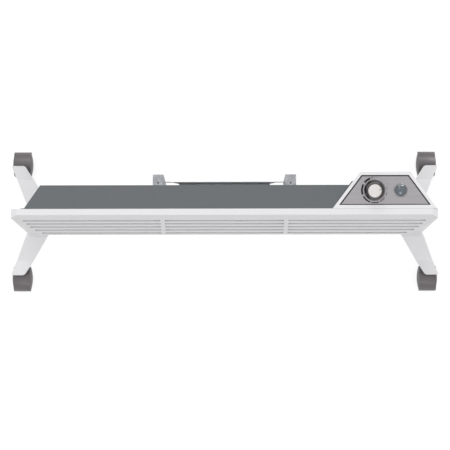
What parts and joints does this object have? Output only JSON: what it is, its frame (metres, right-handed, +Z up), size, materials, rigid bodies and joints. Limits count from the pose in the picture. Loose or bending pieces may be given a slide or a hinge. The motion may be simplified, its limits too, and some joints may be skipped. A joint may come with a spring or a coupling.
{
  "type": "panel convector heater",
  "caption": "Slim panel convector heater with a louvred front, a knob and button on a corner deck, chevron legs on swivel castors and a wall bracket.",
  "frame": {"origin": "on the floor under the middle of the heater, midway between the four castors", "axes": "+X along the heater towards its control deck, -Y out of the louvred front, +Z up"},
  "size_m": [0.906, 0.2982, 0.5234],
  "materials": {
    "enamel_white": "satin white powder coat on steel",
    "case_grey": "satin dark grey powder coat on steel",
    "housing_white": "moulded white ABS, semi-gloss",
    "fascia_silver": "fine brushed silver plate",
    "knob_chrome": "dark chrome plating",
    "cap_ivory": "warm white moulded cap",
    "lens_glass": "blue-grey glassy lens",
    "castor_grey": "warm grey moulded nylon",
    "wheel_grey": "warm grey moulded wheel",
    "dark_plastic": "black moulded plastic",
    "ceramic": "glazed ivory ceramic",
    "element_steel": "heat-tinted steel tube",
    "fin_aluminium": "plain rolled aluminium",
    "copper": "bare copper tube",
    "zinc_steel": "bright zinc plated steel",
    "galvanised_steel": "galvanised steel sheet"
  },
  "bodies": {
    "heater": {"front_panel": "enamel_white", "rear_case": "case_grey", "panel_screws": "zinc_steel", "air_baffle": "zinc_steel", "element_bracket_left": "zinc_steel", "element_bracket_right": "zinc_steel", "element_insulators": "ceramic", "element_tube": "element_steel", "element_fins": "fin_aluminium", "thermal_cutout": "fin_aluminium", "tip_over_switch": "dark_plastic", "terminal_block": "ceramic", "cable_gland": "dark_plastic", "control_housing": "housing_white", "control_fascia": "fascia_silver", "fascia_seal": "dark_plastic", "thermostat_body": "zinc_steel", "thermostat_nut": "zinc_steel", "sensor_capillary": "copper", "button_bezel": "knob_chrome", "power_switch": "dark_plastic", "leg_left": "enamel_white", "leg_right": "enamel_white", "leg_screws": "zinc_steel", "wall_upright_left": "galvanised_steel", "wall_upright_right": "galvanised_steel", "wall_crossbar": "galvanised_steel", "castor_socket_front_left": "zinc_steel", "castor_socket_front_right": "zinc_steel", "castor_socket_rear_left": "zinc_steel", "castor_socket_rear_right": "zinc_steel"},
    "castor_front_left": {"castor_hood_front_left": "castor_grey", "castor_stem_front_left": "zinc_steel", "castor_axle_front_left": "zinc_steel"},
    "wheel_inner_front_left": {"wheel_inner_front_left": "wheel_grey"},
    "wheel_outer_front_left": {"wheel_outer_front_left": "wheel_grey"},
    "castor_front_right": {"castor_hood_front_right": "castor_grey", "castor_stem_front_right": "zinc_steel", "castor_axle_front_right": "zinc_steel"},
    "wheel_inner_front_right": {"wheel_inner_front_right": "wheel_grey"},
    "wheel_outer_front_right": {"wheel_outer_front_right": "wheel_grey"},
    "castor_rear_left": {"castor_hood_rear_left": "castor_grey", "castor_stem_rear_left": "zinc_steel", "castor_axle_rear_left": "zinc_steel"},
    "wheel_inner_rear_left": {"wheel_inner_rear_left": "wheel_grey"},
    "wheel_outer_rear_left": {"wheel_outer_rear_left": "wheel_grey"},
    "castor_rear_right": {"castor_hood_rear_right": "castor_grey", "castor_stem_rear_right": "zinc_steel", "castor_axle_rear_right": "zinc_steel"},
    "wheel_inner_rear_right": {"wheel_inner_rear_right": "wheel_grey"},
    "wheel_outer_rear_right": {"wheel_outer_rear_right": "wheel_grey"},
    "knob": {"thermostat_shaft": "zinc_steel", "knob_grip": "knob_chrome", "knob_cap": "cap_ivory"},
    "button": {"button_lens": "lens_glass"}
  },
  "joints": [
    {"name": "knob_turn", "type": "hinge", "parent": "heater", "child": "knob", "pos_m": [0.291, 0.02277, 0.50608], "axis": [0, -0.1736, 0.9848], "range_deg": [-262, 14]},
    {"name": "button_press", "type": "slide", "parent": "heater", "child": "button", "axis": [0, 0.1736, -0.9848], "range_m": [0, 0.0025], "stiffness_N_per_m": 600, "springref_m": -0.0005},
    {"name": "swivel_front_left", "type": "hinge", "parent": "heater", "child": "castor_front_left", "pos_m": [-0.43152, -0.1015, 0.03], "axis": [0, 0, 1], "continuous": true},
    {"name": "roll_inner_front_left", "type": "hinge", "parent": "castor_front_left", "child": "wheel_inner_front_left", "pos_m": [-0.43152, -0.1215, 0.025], "axis": [1, 0, 0], "continuous": true},
    {"name": "roll_outer_front_left", "type": "hinge", "parent": "castor_front_left", "child": "wheel_outer_front_left", "pos_m": [-0.43152, -0.1215, 0.025], "axis": [1, 0, 0], "continuous": true},
    {"name": "swivel_front_right", "type": "hinge", "parent": "heater", "child": "castor_front_right", "pos_m": [0.43152, -0.1015, 0.03], "axis": [0, 0, 1], "continuous": true},
    {"name": "roll_inner_front_right", "type": "hinge", "parent": "castor_front_right", "child": "wheel_inner_front_right", "pos_m": [0.43152, -0.1215, 0.025], "axis": [1, 0, 0], "continuous": true},
    {"name": "roll_outer_front_right", "type": "hinge", "parent": "castor_front_right", "child": "wheel_outer_front_right", "pos_m": [0.43152, -0.1215, 0.025], "axis": [1, 0, 0], "continuous": true},
    {"name": "swivel_rear_left", "type": "hinge", "parent": "heater", "child": "castor_rear_left", "pos_m": [-0.43152, 0.1015, 0.03], "axis": [0, 0, 1], "continuous": true},
    {"name": "roll_inner_rear_left", "type": "hinge", "parent": "castor_rear_left", "child": "wheel_inner_rear_left", "pos_m": [-0.43152, 0.1215, 0.025], "axis": [1, 0, 0], "continuous": true},
    {"name": "roll_outer_rear_left", "type": "hinge", "parent": "castor_rear_left", "child": "wheel_outer_rear_left", "pos_m": [-0.43152, 0.1215, 0.025], "axis": [1, 0, 0], "continuous": true},
    {"name": "swivel_rear_right", "type": "hinge", "parent": "heater", "child": "castor_rear_right", "pos_m": [0.43152, 0.1015, 0.03], "axis": [0, 0, 1], "continuous": true},
    {"name": "roll_inner_rear_right", "type": "hinge", "parent": "castor_rear_right", "child": "wheel_inner_rear_right", "pos_m": [0.43152, 0.1215, 0.025], "axis": [1, 0, 0], "continuous": true},
    {"name": "roll_outer_rear_right", "type": "hinge", "parent": "castor_rear_right", "child": "wheel_outer_rear_right", "pos_m": [0.43152, 0.1215, 0.025], "axis": [1, 0, 0], "continuous": true}
  ]
}
